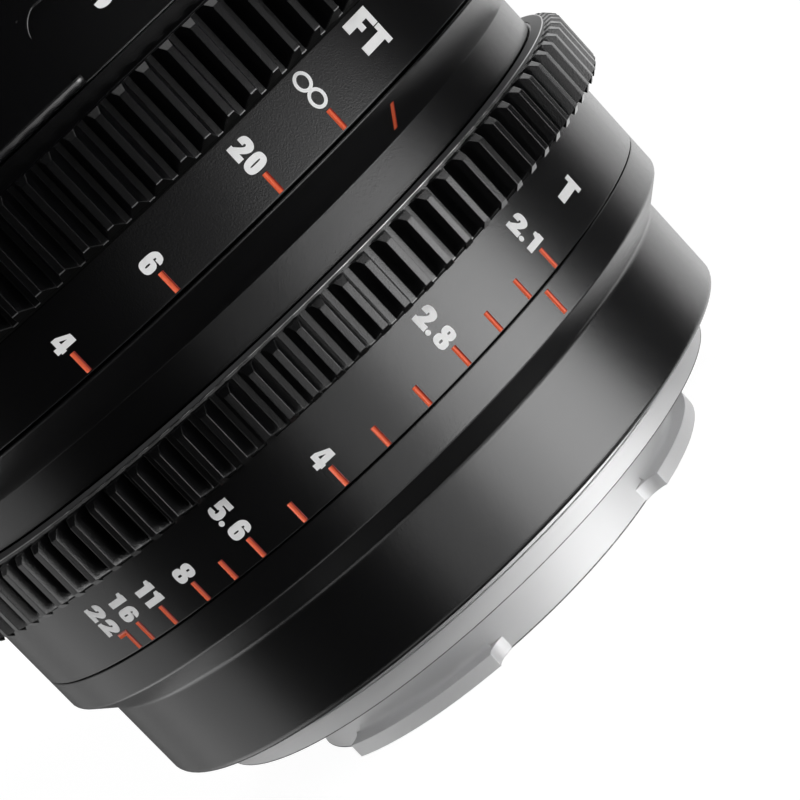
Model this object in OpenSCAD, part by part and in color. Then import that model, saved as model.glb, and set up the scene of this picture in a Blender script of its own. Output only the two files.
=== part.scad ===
// Manual cinema prime lens with a bayonet mount, standing on its mount.
// The optical axis is +Z, the front of the lens is up, and z = 0 is the flange face.

/* [Bayonet mount] */
// Width of the mounting flange round the skirt
flange_w = 7.55; // [6.8:0.05:8.5]
// Thickness of the mounting flange
flange_h = 1.85; // [1.6:0.05:4]
// Outer radius of the bayonet skirt
skirt_r = 22.35; // [21.5:0.05:23]
// Depth of the skirt behind the flange
skirt_h = 5.55; // [4.5:0.05:7]
// Wall of the skirt
skirt_wall = 2.15; // [1.6:0.05:3]
// How far the bayonet lugs reach out of the skirt
lug_reach = 2.05; // [1.6:0.05:2.6]
// Thickness of the lugs along the axis
lug_h = 1.4; // [1.2:0.1:2.5]
// Thickness of the shim that sets the back focus
shim_h = 1.15; // [0.3:0.05:1.5]
// Distance of the mount screws from the flange's edge
screw_inset = 3; // [2.6:0.1:3.4]
// Radius of a mount screw's shank
screw_r = 1.0; // [0.8:0.05:1.2]
// Radius of a mount screw's head
screw_head_r = 1.9; // [1.6:0.05:2]
// Radius of the hole that the camera's lock pin enters
lock_hole_r = 2.1; // [1.5:0.1:2.4]

/* [Rear housing] */
// Wall of the rear housing round the guide barrel
housing_wall = 1.97; // [1.4:0.01:3]
// Height of the straight part of the rear housing
body_h = 8.5; // [7:0.1:12]
// Height of the cove under the fixed index ring
cove_h = 2.5; // [1.5:0.1:3.5]
// Height of the fixed index ring
index_ring_h = 3.45; // [2.5:0.05:6]
// Thickness of the housing's rear wall
rear_wall_h = 2.5; // [1.8:0.1:3]

/* [Iris ring] */
// Wall of the iris ring under the T-stop scale
iris_wall = 2.14; // [1.8:0.01:3]
// Height of the T-stop scale
iris_scale_h = 7; // [6:0.1:10]
// Height of the iris gear
iris_gear_h = 6.5; // [5:0.1:9]
// Height of the iris gear's tips over the scale
iris_gear_rise = 2.5; // [2.2:0.1:3]
// Turn of the iris ring from widest to narrowest stop
iris_turn = 78.7; // [60:0.1:80]
// Turn of the iris ring past the widest stop, as drawn
iris_rest = 3.8; // [0:0.1:10]

/* [Index collar] */
// How far the grained band of the collar lies below the T-stop scale
collar_step = 0.2; // [0:0.05:0.4]
// Height of the grained band
collar_band_h = 3.55; // [2.5:0.05:6]
// Height of the collar's cone
collar_cone_h = 3.55; // [2.5:0.05:5]

/* [Focus ring] */
// Wall of the focus ring under the distance scale
focus_wall = 2.62; // [2:0.01:4]
// Wall of the focus cam sleeve
cam_sleeve_wall = 2.29; // [1.6:0.01:3]
// Height of the distance scale
focus_scale_h = 6.2; // [5.5:0.1:9]
// Height of the focus gear
focus_gear_h = 8.7; // [7:0.1:11]
// Height of the smooth land in front of the gear
focus_land_h = 1.6; // [1:0.1:3]
// Height of the focus gear's tips over the scale
focus_gear_rise = 2.4; // [2.2:0.1:3]
// Turn of the focus ring from stop to stop
focus_turn = 128; // [90:1:130]
// Travel of the lens carriage for each degree of focus turn
focus_rate = 0.0525; // [0.03:0.0005:0.055]

/* [Gears] */
// Module of both gears
gear_module = 0.8; // [0.5:0.1:0.8]
// Chamfer at both ends of the teeth
tooth_chamfer = 0.6; // [0.2:0.05:0.9]

/* [Front barrel] */
// Radius of the front barrel, for clamp-on accessories
barrel_r = 40; // [38:0.1:46]
// Height of the front barrel
barrel_h = 35; // [33:0.1:45]
// Wall round the filter thread
filter_wall = 1.9; // [1.6:0.05:2.4]
// Length of the filter thread
filter_h = 4; // [3:0.1:6]
// Depth of the name panel's recess
panel_depth = 0.9; // [0.4:0.05:1.5]
// Height of the name panel
panel_h = 7; // [5:0.5:12]
// Width of the name panel as an angle
panel_angle = 55.4; // [30:0.1:70]

/* [Guide barrel] */
// Wall of the guide barrel under the focus ring
guide_wall = 5; // [4.4:0.1:6]
// Step down from the focus ring's seat to the iris ring's
guide_step = 0.5; // [0.2:0.05:0.8]
// Wall of the guide barrel inside the rear housing
guide_rear_wall = 2; // [1.5:0.05:2.4]
// Radius of a cam follower
follower_r = 1.5; // [1.2:0.05:1.6]

/* [Optics] */
// Wall of the front cell round the front element
front_cell_wall = 3; // [2.4:0.1:4]
// Step down from the front element's rim to the second's
second_step = 4; // [2:0.1:5]
// Step down from the second element's rim to the third's
third_step = 3; // [2:0.1:4]
// Wall of the rear cell round the rear elements
rear_cell_wall = 5; // [3:0.1:6]
// Width of the flat seat ground on each rim
seat_w = 1.6; // [1.2:0.1:2]

/* [Iris] */
// Width of a blade
blade_w = 7.1; // [6.8:0.1:7.6]
// Radius of the opening at the narrowest stop
iris_shut_r = 1.1; // [1:0.1:3]
// Thickness of a blade
blade_t = 0.05; // [0.03:0.005:0.06]
// Rise of a blade's winding for each radian, as the stacked blades lie
blade_rise = 1.1; // [1.05:0.05:1.3]
// Radius of a blade's pivot pin
pivot_r = 0.8; // [0.5:0.05:0.9]
// Radius of a blade's drive pin
drive_r = 0.7; // [0.5:0.05:0.8]
// Radius of the pin that joins the iris ring to the iris unit
iris_pin_r = 1.2; // [0.9:0.05:1.4]

/* [Fits] */
// Radial clearance of parts that turn or slide
running = 0.06; // [0.03:0.01:0.09]
// Radial clearance of parts that are fixed together
seat = 0.03; // [0.01:0.01:0.05]
// Gap between rings that turn beside each other
ring_gap = 0.1; // [0.08:0.01:0.3]
// Gap between the index collar and the focus ring
focus_gap = 0.2; // [0.1:0.01:0.3]

/* [Hidden] */
$fn = 96;

// Number of iris blades, each a node of its own
blade_count = 10;

// Colours
black_anodised = [0.07, 0.07, 0.075];
dull_black = [0.03, 0.03, 0.03];
satin_silver = [0.76, 0.76, 0.77];
brass = [0.72, 0.58, 0.30];
glass = [0.62, 0.72, 0.78, 0.45];

// Overrun of cutting shapes past the face that they cut
over = 1;

// Angles are counted from the side that faces -Y, towards +X
index_angle = 31.9;
front_dir = -90;

// Radii of the mount, from its skirt
mount_bore_r = skirt_r - skirt_wall;
lug_r = skirt_r + lug_reach;
flange_r = skirt_r + flange_w;
screw_circle_r = flange_r - screw_inset;

// Radii of the rings and of the barrel that they turn on, from the outside in
focus_r = barrel_r;
cam_sleeve_r = focus_r - focus_wall - seat;
guide_focus_r = cam_sleeve_r - cam_sleeve_wall - running;
guide_iris_r = guide_focus_r - guide_step;
guide_bore_r = guide_focus_r - guide_wall;
guide_rear_r = guide_bore_r + guide_rear_wall;
scale_r = guide_iris_r + running + iris_wall;
collar_r = scale_r - collar_step;
body_r = guide_rear_r + seat + housing_wall;
filter_r = barrel_r - filter_wall;

// Tooth counts that bring the tips nearest to their height over the scales
iris_teeth = round(2 * (scale_r + iris_gear_rise) / gear_module) - 2;
focus_teeth = round(2 * (focus_r + focus_gear_rise) / gear_module) - 2;

// Heights of the outer rings, stacked from the flange
z_housing = flange_h + shim_h;
z_cove = z_housing + body_h;
z_index = z_cove + cove_h;
z_seam = z_index + index_ring_h;
z_iris = z_seam + ring_gap;
z_iris_gear = z_iris + iris_scale_h;
z_iris_end = z_iris_gear + iris_gear_h;
z_collar = z_iris_end + ring_gap;
z_cone = z_collar + collar_band_h;
z_collar_end = z_cone + collar_cone_h;
z_focus = z_collar_end + focus_gap;
z_focus_gear = z_focus + focus_scale_h;
z_land = z_focus_gear + focus_gear_h;
z_focus_end = z_land + focus_land_h;
z_barrel = z_focus_end + ring_gap;
z_front = z_barrel + barrel_h;

// Guide barrel and its seats
z_guide = z_housing + rear_wall_h;
guide_overlap_h = 4.5;
z_guide_end = z_barrel + guide_overlap_h;
housing_opening_r = skirt_r + 0.65;

// Focus cam: the followers climb in helical slots as the focus ring turns
follower_angles = [30, 150, 270];
focus_travel = focus_turn * focus_rate;
cam_end_h = 2.1;
sleeve_inset = 0.3;
z_follower = z_focus + sleeve_inset + cam_end_h + follower_r;
follower_inner_r = guide_bore_r - 3.5;
follower_outer_r = cam_sleeve_r - 0.2;
cam_steps = 20;
keyway_end = 0.3;

// Lens carriage, from its rear end to its front end
carriage_r = guide_bore_r - running;
carriage_waist_r = guide_bore_r - 3;
z_carriage = z_guide + 1.5;
rear_land_h = 6.2;
front_land_h = 3.2;
z_waist = z_carriage + rear_land_h;
z_front_land = z_follower - front_land_h;
z_carriage_end = z_barrel + 1;
carriage_wall = 6;
iris_unit_r = carriage_waist_r - carriage_wall;
rear_cell_r = iris_unit_r + 1;
rear_rim_r = rear_cell_r - rear_cell_wall;
rear_cell_flange_h = 1;
rear_cell_flange_r = rear_cell_r + 2;
z_rear_cell = z_carriage - rear_cell_flange_h;

// Rear group, stacked from the lip of the rear cell
rear_lip_h = 1.5;
z_rear_glass = z_rear_cell + rear_lip_h;
rear_glass_h = 3;
rear_spacer_h = 4.5;
z_fifth = z_rear_glass + rear_glass_h + rear_spacer_h;
fifth_h = 3;
z_fourth = z_fifth + fifth_h;
fourth_h = 3.5;
z_rear_retainer = z_fourth + fourth_h;
retainer_h = 2;
z_rear_cell_end = z_rear_retainer + retainer_h + 0.5;
ring_wall = 1.35;

// Iris unit, stacked from the web of the carriage
web_h = 2;
z_web = z_rear_cell_end + 1;
z_base_plate = z_web + web_h;
plate_h = 1.5;
pivot_circle_r = iris_unit_r - 4;
blade_out_r = iris_unit_r - 2.4;
iris_open_r = blade_out_r - blade_w;
plate_bore_r = iris_open_r + 0.5;
blade_head = -10;
blade_tip = 156;
blade_round = 12;
blade_gap = 0.15;
blade_sections = 28;
z_pivot = z_base_plate + plate_h + blade_gap - blade_rise * blade_head * PI / 180;
z_cam_ring = z_pivot + blade_rise * blade_tip * PI / 180 + blade_gap;
cam_ring_h = 1.75;
z_iris_retainer = z_cam_ring + cam_ring_h + blade_gap;
iris_retainer_h = 1.5;
iris_front_gap = 5;
z_front_bore = z_iris_retainer + iris_retainer_h + iris_front_gap;

// Blade turn: the inner edge's centre swings out by the closing of the opening
blade_turn = 2 * asin((iris_open_r - iris_shut_r) / (2 * pivot_circle_r));
blade_ratio = blade_turn / iris_turn;
blade_rest = iris_rest * blade_ratio;
drive_angle = 131;
drive_circle_r = pivot_circle_r - 0.5;
drive_play = 0.25;

// Turn of the iris ring at which a drive pin lies deepest in its slot
drive_deepest = (180 - atan2(drive_circle_r * sin(drive_angle),
                             drive_circle_r * cos(drive_angle) - pivot_circle_r)) / blade_ratio;

// Iris drive: a pin of the iris ring slides along the fork of the iris unit
fork_angle = 90;
fork_in_r = carriage_waist_r + 0.3;
fork_out_r = guide_bore_r - 0.6;
fork_w = 7;
fork_foot_r = iris_unit_r - 2.5;
fork_end_h = 1.5;
iris_pin_h = 6.3;
z_iris_pin = z_iris + iris_pin_h;
iris_pin_inner_r = fork_in_r + 0.7;
iris_pin_outer_r = scale_r - 0.7;
pin_end_gap = 0.3;
arm_gap_angle = asin(fork_w / 2 / iris_unit_r) + 1;

// Front group, stacked from the lip of the front cell
front_cell_spigot_r = guide_bore_r - 4.5;
front_cell_r = guide_bore_r - 2;
front_rim_r = front_cell_r - front_cell_wall;
second_rim_r = front_rim_r - second_step;
third_rim_r = second_rim_r - third_step;
front_cell_flange_r = guide_bore_r - 0.5;
front_cell_flange_h = 2;
z_front_cell = z_front_bore + 0.5;
front_lip_h = 1.5;
z_third = z_front_cell + front_lip_h;
third_h = 4;
front_spacer_h = 2;
z_second = z_third + third_h + front_spacer_h;
second_h = 4;
z_second_retainer = z_second + second_h;
z_front_shoulder = z_second_retainer + retainer_h;
front_gap_h = 11;
z_front_glass = z_front_shoulder + front_gap_h;
front_glass_h = 4;
z_front_retainer = z_front_glass + front_glass_h;
front_retainer_h = 3;
z_front_cell_end = z_front_retainer + front_retainer_h + 1;

// Bulge of each glass element at its front and rear face
front_bulge = [5, -3];
second_bulge = [3.5, -2.5];
third_bulge = [1.6, -2];
fourth_bulge = [-1.2, -1.8];
fifth_bulge = [1.6, 1.2];
rear_bulge = [2.2, 1.2];

// Front barrel and the light trap in its mouth
barrel_bore_r = guide_focus_r - 1.5;
trap_h = 5;
trap_flange_h = 2.5;
trap_rim = 2.5;
trap_seat_r = filter_r - 0.5;
trap_sink = 0.1;
trap_steps = 6;
trap_inner_r = front_cell_r + 0.6;
z_filter = z_front - filter_h;
z_trap_seat = z_filter - trap_flange_h;

// Points of an arc about (c_r, c_z), for the profiles that are turned round the axis
function arc_points(c_r, c_z, r, from, to, n = 6) =
    [for (i = [0 : n]) let (a = from + (to - from) * i / n) [c_r + r * cos(a), c_z + r * sin(a)]];

function polar(r, a) = [r * cos(a), r * sin(a)];

// Turns point p by angle a about point c
function turned(p, a, c) =
    let (d = p - c) c + [d[0] * cos(a) - d[1] * sin(a), d[0] * sin(a) + d[1] * cos(a)];

module ring(r_out, r_in, z0, z1) {
    translate([0, 0, z0])
        difference() {
            cylinder(r = r_out, h = z1 - z0);
            translate([0, 0, -over])
                cylinder(r = r_in, h = z1 - z0 + 2 * over);
        }
}

module bore(r, z0, z1) {
    translate([0, 0, z0])
        cylinder(r = r, h = z1 - z0);
}

// A piece of a ring, from one angle to another
module sector(r_out, r_in, z0, z1, from, to) {
    rotate([0, 0, from])
        rotate_extrude(angle = to - from)
            translate([r_in, z0])
                square([r_out - r_in, z1 - z0]);
}

// A round pin that points away from the axis
module radial_pin(r, from_r, to_r, z, angle) {
    rotate([0, 0, angle])
        translate([from_r, 0, z])
            rotate([0, 90, 0])
                cylinder(r = r, h = to_r - from_r, $fn = 32);
}

// A solid carried along sections of four points each: its faces, as triangles
function strip_faces(sections) =
    let (last = 4 * (sections - 1))
    concat(
        [[3, 2, 1], [3, 1, 0]],
        [for (i = [0 : sections - 2], j = [0 : 3], half = [0 : 1])
            let (a = 4 * i + j, b = 4 * i + (j + 1) % 4)
            half == 0 ? [a, b, b + 4] : [a, b + 4, a + 4]],
        [[last, last + 1, last + 2], [last, last + 2, last + 3]]
    );

pressure_angle = 20;
flank_steps = 2;
tooth_over = 0.3;

function tip_r(teeth) = gear_module * (teeth + 2) / 2;
function root_r(teeth) = tip_r(teeth) - 2.25 * gear_module;
function base_r(teeth) = gear_module * teeth / 2 * cos(pressure_angle);
function involute(angle) = tan(angle) * 180 / PI - angle;

// Half the angle that a tooth takes up at a radius, by the involute of its base circle
function half_tooth(teeth, r) =
    90 / teeth + involute(pressure_angle) - involute(acos(base_r(teeth) / r));

// Outline of one tooth: up one flank and down the other
function tooth_points(teeth, middle) =
    let (root = root_r(teeth), rise = tip_r(teeth) + tooth_over - root)
    [for (side = [-1, 1], i = [0 : flank_steps])
        let (r = root + rise * (side < 0 ? i : flank_steps - i) / flank_steps)
        polar(r, middle + side * half_tooth(teeth, r))];

// A band of straight teeth that run out on a slope at the rear and are chamfered at the front
module gear_band(teeth, foot_r, z0, z1, run) {
    tip = tip_r(teeth);
    intersection() {
        translate([0, 0, z0])
            linear_extrude(z1 - z0)
                polygon([for (i = [0 : teeth - 1])
                    each tooth_points(teeth, i * 360 / teeth)]);
        rotate_extrude()
            polygon([[0, z0], [foot_r, z0], [tip, z0 + run],
                     [tip, z1 - tooth_chamfer], [tip - tooth_chamfer, z1], [0, z1]]);
    }
}

// A lens element: a flat-seated rim with a bulge (sag above 0) or a dish (below 0) on each side
module element(rim_r, z, h, front_sag, rear_sag) {
    clear_r = rim_r - seat_w;
    difference() {
        union() {
            bore(rim_r - running, z, z + h);
            if (front_sag > 0)
                translate([0, 0, z + h])
                    cap(clear_r, front_sag);
            if (rear_sag > 0)
                translate([0, 0, z])
                    mirror([0, 0, 1])
                        cap(clear_r, rear_sag);
        }
        if (front_sag < 0)
            translate([0, 0, z + h])
                dish(clear_r, -front_sag);
        if (rear_sag < 0)
            translate([0, 0, z])
                mirror([0, 0, 1])
                    dish(clear_r, -rear_sag);
    }
}

function sphere_r(r, sag) = (r * r + sag * sag) / (2 * sag);

module cap(r, sag) {
    intersection() {
        translate([0, 0, sag - sphere_r(r, sag)])
            sphere(r = sphere_r(r, sag), $fn = 256);
        translate([0, 0, -0.5])
            cylinder(r = r + 1, h = sag + 1);
    }
}

module dish(r, sag) {
    translate([0, 0, sphere_r(r, sag) - sag])
        sphere(r = sphere_r(r, sag), $fn = 256);
}

// Fixed housing

// Bayonet lugs: start angle and span of each
lug_starts = [-54.3, 43.1, 165];
lug_spans = [43.1, 54, 64];
lock_hole_angle = 130;
lock_hole_h = 1.4;
mount_screw_angles = [20, 110, 200, 290];
screw_head_h = 1.3;
screw_bite_h = 2;
flange_lip = 0.12;
fillet_bite = 0.1;
lug_fillet_r = 0.6;

// A wedge of the plane, from one angle to another
module wedge(from, to) {
    reach = 2 * lug_r;
    polygon([[0, 0], polar(reach, from), polar(reach, (from + to) / 2), polar(reach, to)]);
}

// Outline of one lug, with a fillet at each end that runs out on the skirt
module lug(start, span) {
    fillet_r = lug_r - skirt_r + fillet_bite;
    flare = asin(fillet_r / lug_r);
    difference() {
        intersection() {
            circle(r = lug_r);
            wedge(start - flare, start + span + flare);
        }
        for (end = [start - flare, start + span + flare])
            translate(polar(lug_r, end))
                circle(r = fillet_r, $fn = 48);
    }
}

// A hollow fillet between the skirt and the front face of one lug
module lug_fillet(start, span) {
    z_lug = lug_h - skirt_h;
    rotate([0, 0, start])
        rotate_extrude(angle = span)
            polygon(concat(
                [[skirt_r - over, z_lug - over], [skirt_r + lug_fillet_r, z_lug - over]],
                arc_points(skirt_r + lug_fillet_r, z_lug + lug_fillet_r, lug_fillet_r, 270, 180),
                [[skirt_r - over, z_lug + lug_fillet_r]]
            ));
}

module bayonet_mount() {
    color(satin_silver)
        difference() {
            union() {
                rotate_extrude()
                    polygon([[mount_bore_r, lug_h - skirt_h], [skirt_r, lug_h - skirt_h], [skirt_r, 0],
                             [flange_r, 0], [flange_r, flange_h - flange_lip],
                             [flange_r - flange_lip, flange_h], [mount_bore_r, flange_h]]);
                translate([0, 0, -skirt_h])
                    linear_extrude(lug_h)
                        difference() {
                            union() {
                                circle(r = skirt_r);
                                for (i = [0 : len(lug_starts) - 1])
                                    lug(front_dir + lug_starts[i], lug_spans[i]);
                            }
                            circle(r = mount_bore_r);
                        }
                for (i = [0 : len(lug_starts) - 1])
                    lug_fillet(front_dir + lug_starts[i], lug_spans[i]);
            }
            for (a = mount_screw_angles)
                rotate([0, 0, a])
                    translate([screw_circle_r, 0, -over]) {
                        cylinder(r = screw_r + seat, h = flange_h + 2 * over, $fn = 32);
                        cylinder(r = screw_head_r + seat, h = over + screw_head_h, $fn = 32);
                    }
            rotate([0, 0, lock_hole_angle])
                translate([screw_circle_r, 0, -over])
                    cylinder(r = lock_hole_r, h = over + lock_hole_h, $fn = 32);
        }
}

module mount_screws() {
    color(satin_silver)
        for (a = mount_screw_angles)
            rotate([0, 0, a])
                translate([screw_circle_r, 0, 0]) {
                    translate([0, 0, 0.1])
                        cylinder(r = screw_head_r, h = screw_head_h - 0.1, $fn = 32);
                    translate([0, 0, screw_head_h - 0.1])
                        cylinder(r = screw_r, h = flange_h + shim_h + screw_bite_h - screw_head_h, $fn = 32);
                }
}

module mount_shim() {
    color(satin_silver)
        difference() {
            ring(flange_r, housing_opening_r, flange_h, z_housing);
            for (a = mount_screw_angles)
                rotate([0, 0, a])
                    translate([screw_circle_r, 0, flange_h - over])
                        cylinder(r = screw_r + 2 * seat, h = shim_h + 2 * over, $fn = 32);
        }
}

baffle_wall = 3.2;
baffle_in_h = 3.5;
baffle_inset = 0.9;

module rear_baffle() {
    color(dull_black)
        rotate_extrude()
            polygon([[mount_bore_r - seat, -skirt_h + baffle_inset],
                     [mount_bore_r - seat, -skirt_h + baffle_inset + baffle_in_h],
                     [mount_bore_r - 1, -skirt_h + baffle_inset + baffle_in_h],
                     [mount_bore_r - 1, -skirt_h + baffle_inset + 1],
                     [mount_bore_r - baffle_wall, -skirt_h + baffle_inset + 0.6],
                     [mount_bore_r - baffle_wall, -skirt_h + baffle_inset]]);
}

body_round = 0.6;
cove_round = 0.8;
edge_round = 0.5;
fine_round = 0.15;
edge_break = 0.08;

module rear_housing() {
    color(black_anodised)
        difference() {
            rotate_extrude()
                polygon(concat(
                    [[housing_opening_r, z_housing]],
                    arc_points(body_r - body_round, z_housing + body_round, body_round, -90, 0),
                    arc_points(body_r + cove_round, z_cove, cove_round, 180, 135),
                    arc_points(scale_r - edge_round, z_index + edge_round, edge_round, -45, 0),
                    [[scale_r, z_seam - edge_break], [scale_r - edge_break, z_seam],
                     [guide_rear_r + seat, z_seam], [guide_rear_r + seat, z_guide],
                     [housing_opening_r, z_guide]]
                ));
            for (a = mount_screw_angles)
                rotate([0, 0, a])
                    translate([screw_circle_r, 0, z_housing - over])
                        cylinder(r = screw_r + seat, h = over + screw_bite_h, $fn = 32);
        }
}

module guide_barrel() {
    keyway_w = 2 * (follower_r + running);
    keyway_z = z_follower - follower_r - keyway_end;
    keyway_h = focus_travel + 2 * (follower_r + keyway_end);
    pin_half_angle = asin((iris_pin_r + pin_end_gap) / guide_bore_r);
    color(black_anodised)
        difference() {
            rotate_extrude()
                polygon([[guide_bore_r, z_guide], [guide_rear_r, z_guide], [guide_rear_r, z_seam],
                         [guide_iris_r, z_seam], [guide_iris_r, z_collar],
                         [guide_focus_r, z_collar], [guide_focus_r, z_guide_end],
                         [guide_bore_r, z_guide_end]]);
            for (a = follower_angles)
                rotate([0, 0, a])
                    translate([guide_bore_r - over, -keyway_w / 2, keyway_z])
                        cube([guide_focus_r - guide_bore_r + 2 * over, keyway_w, keyway_h]);
            sector(guide_iris_r + over, guide_bore_r - over,
                   z_iris_pin - iris_pin_r - pin_end_gap, z_iris_pin + iris_pin_r + pin_end_gap,
                   fork_angle - iris_rest - pin_half_angle,
                   fork_angle + iris_turn - iris_rest + pin_half_angle);
        }
}

module index_collar() {
    color(black_anodised)
        rotate_extrude()
            polygon(concat(
                [[guide_focus_r + seat, z_collar], [collar_r - edge_break, z_collar],
                 [collar_r, z_collar + edge_break]],
                [[collar_r, z_cone]],
                arc_points(focus_r - fine_round, z_collar_end - fine_round, fine_round, -45, 90),
                [[guide_focus_r + seat, z_collar_end]]
            ));
}

rear_chamfer = 0.8;
rim_round = 0.8;

// The shallow panel over the index line
module panel_recess() {
    middle = front_dir + index_angle;
    sector(barrel_r + over, barrel_r - panel_depth, z_barrel - over, z_barrel + panel_h,
           middle - panel_angle / 2, middle + panel_angle / 2);
}

module front_barrel() {
    color(black_anodised)
        difference() {
            rotate_extrude()
                polygon(concat(
                    [[guide_focus_r + seat, z_barrel], [barrel_r - rear_chamfer, z_barrel],
                     [barrel_r, z_barrel + rear_chamfer]],
                    arc_points(barrel_r - rim_round, z_front - rim_round, rim_round, 0, 90),
                    [[filter_r, z_front], [filter_r, z_filter], [trap_seat_r, z_filter],
                     [trap_seat_r, z_trap_seat], [barrel_bore_r, z_trap_seat],
                     [barrel_bore_r, z_guide_end], [guide_focus_r + seat, z_guide_end]]
                ));
            panel_recess();
        }
}

// Light trap: ridges that step down from the filter thread to the front cell
module front_baffle() {
    out_r = filter_r - trap_rim;
    z_top = z_filter - trap_sink;
    step_w = (out_r - trap_inner_r) / trap_steps;
    step_h = (trap_h - trap_sink) / trap_steps;
    color(dull_black)
        rotate_extrude()
            polygon(concat(
                [[barrel_bore_r - seat, z_filter - trap_h], [barrel_bore_r - seat, z_trap_seat],
                 [trap_seat_r - seat, z_trap_seat], [trap_seat_r - seat, z_top]],
                [for (i = [0 : trap_steps - 1], corner = [0 : 1])
                    [out_r - i * step_w - (corner == 1 ? 0.25 * step_w : 0),
                     z_top - i * step_h - (corner == 1 ? step_h : 0)]],
                [[trap_inner_r, z_filter - trap_h]]
            ));
}

// Iris ring

// The teeth run out on a low lip at the front, which slopes down to the collar
lip_h = 0.55;
lip_rise = 0.5;
lip_flat = 0.15;
iris_run = 0.6;

module iris_ring() {
    lip_r = root_r(iris_teeth) + lip_rise;
    z_lip = z_iris_end - lip_h;
    color(black_anodised)
        difference() {
            union() {
                rotate_extrude()
                    polygon([[0, z_iris], [scale_r - edge_break, z_iris], [scale_r, z_iris + edge_break],
                         [scale_r, z_lip], [lip_r, z_lip],
                         [lip_r, z_lip + lip_flat], [collar_r + fine_round, z_iris_end],
                         [0, z_iris_end]]);
                gear_band(iris_teeth, scale_r, z_iris_gear, z_lip, iris_run);
            }
            bore(guide_iris_r + running, z_iris - over, z_iris_end + over);
            radial_pin(iris_pin_r + seat, guide_iris_r - over, iris_pin_outer_r + seat,
                       z_iris_pin, fork_angle);
        }
}

module iris_drive_pin() {
    color(brass)
        radial_pin(iris_pin_r, iris_pin_inner_r, iris_pin_outer_r, z_iris_pin, fork_angle);
}

// Focus ring

land_step = 0.6;
focus_run = 0.95;
focus_foot = 0.35;

module focus_ring() {
    color(black_anodised)
        difference() {
            union() {
                rotate_extrude()
                    polygon(concat(
                        [[0, z_focus]],
                        arc_points(focus_r - fine_round, z_focus + fine_round, fine_round, -90, 0),
                        [[focus_r, z_land], [focus_r - land_step, z_land + edge_break],
                         [focus_r - land_step, z_focus_end], [0, z_focus_end]]
                    ));
                gear_band(focus_teeth, focus_r, z_focus_gear + focus_foot, z_land, focus_run);
            }
            bore(cam_sleeve_r + seat, z_focus - over, z_focus_end + over);
        }
}

// A helical slot that lifts one follower over the whole turn of the focus ring
module cam_slot(angle) {
    half_h = (follower_r + running) / cos(atan(focus_rate * 180 / PI / guide_focus_r));
    in_r = guide_focus_r - over;
    out_r = cam_sleeve_r + over;
    end_turn = (follower_r + keyway_end) / guide_focus_r * 180 / PI;
    sections = [for (i = [0 : cam_steps])
        let (turn = -end_turn + (focus_turn + 2 * end_turn) * i / cam_steps,
             a = angle - turn, z = z_follower + turn * focus_rate)
        [for (corner = [[out_r, -half_h], [in_r, -half_h], [in_r, half_h], [out_r, half_h]])
            [corner[0] * cos(a), corner[0] * sin(a), z + corner[1]]]];
    polyhedron([for (s = sections) each s], strip_faces(cam_steps + 1));
}

module focus_cam_sleeve() {
    color(brass)
        difference() {
            ring(cam_sleeve_r, guide_focus_r + running, z_focus + sleeve_inset, z_focus_end - sleeve_inset);
            for (a = follower_angles)
                cam_slot(a);
        }
}

// Lens carriage

module lens_carriage() {
    window_from = fork_angle - iris_rest - arm_gap_angle;
    window_to = fork_angle + iris_turn - iris_rest + arm_gap_angle;
    color(dull_black)
        difference() {
            rotate_extrude()
                polygon([[rear_cell_r + seat, z_carriage], [carriage_r, z_carriage], [carriage_r, z_waist],
                         [carriage_waist_r, z_waist], [carriage_waist_r, z_front_land],
                         [carriage_r, z_front_land], [carriage_r, z_carriage_end],
                         [front_cell_spigot_r + seat, z_carriage_end],
                         [front_cell_spigot_r + seat, z_front_bore], [iris_unit_r, z_front_bore],
                         [iris_unit_r, z_base_plate], [plate_bore_r + 1, z_base_plate],
                         [plate_bore_r + 1, z_web], [rear_cell_r + seat, z_web]]);
            sector(carriage_waist_r + over, iris_unit_r - over,
                   z_cam_ring - 2 * blade_gap, z_cam_ring + cam_ring_h + 2 * blade_gap,
                   window_from, window_to);
            for (a = follower_angles)
                radial_pin(follower_r + seat, follower_inner_r - seat, guide_bore_r, z_follower, a);
        }
}

module cam_followers() {
    color(brass)
        for (a = follower_angles)
            radial_pin(follower_r, follower_inner_r, follower_outer_r, z_follower, a);
}

module front_cell() {
    z_flange_end = z_carriage_end + front_cell_flange_h;
    color(dull_black)
        rotate_extrude()
            polygon([[third_rim_r - seat_w, z_front_cell], [front_cell_spigot_r, z_front_cell],
                     [front_cell_spigot_r, z_carriage_end], [front_cell_flange_r, z_carriage_end],
                     [front_cell_flange_r, z_flange_end], [front_cell_r, z_flange_end],
                     [front_cell_r, z_front_cell_end], [front_rim_r, z_front_cell_end],
                     [front_rim_r, z_front_glass], [front_rim_r - seat_w, z_front_glass],
                     [front_rim_r - seat_w, z_front_shoulder], [second_rim_r, z_front_shoulder],
                     [second_rim_r, z_second], [third_rim_r, z_second],
                     [third_rim_r, z_third], [third_rim_r - seat_w, z_third]]);
}

module rear_cell() {
    color(dull_black)
        rotate_extrude()
            polygon([[rear_rim_r - seat_w, z_rear_cell], [rear_cell_flange_r, z_rear_cell],
                     [rear_cell_flange_r, z_carriage], [rear_cell_r, z_carriage],
                     [rear_cell_r, z_rear_cell_end], [rear_rim_r, z_rear_cell_end],
                     [rear_rim_r, z_rear_glass], [rear_rim_r - seat_w, z_rear_glass]]);
}

module front_element() {
    color(glass)
        element(front_rim_r, z_front_glass, front_glass_h, front_bulge[0], front_bulge[1]);
}

module second_element() {
    color(glass)
        element(second_rim_r, z_second, second_h, second_bulge[0], second_bulge[1]);
}

module third_element() {
    color(glass)
        element(third_rim_r, z_third, third_h, third_bulge[0], third_bulge[1]);
}

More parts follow.
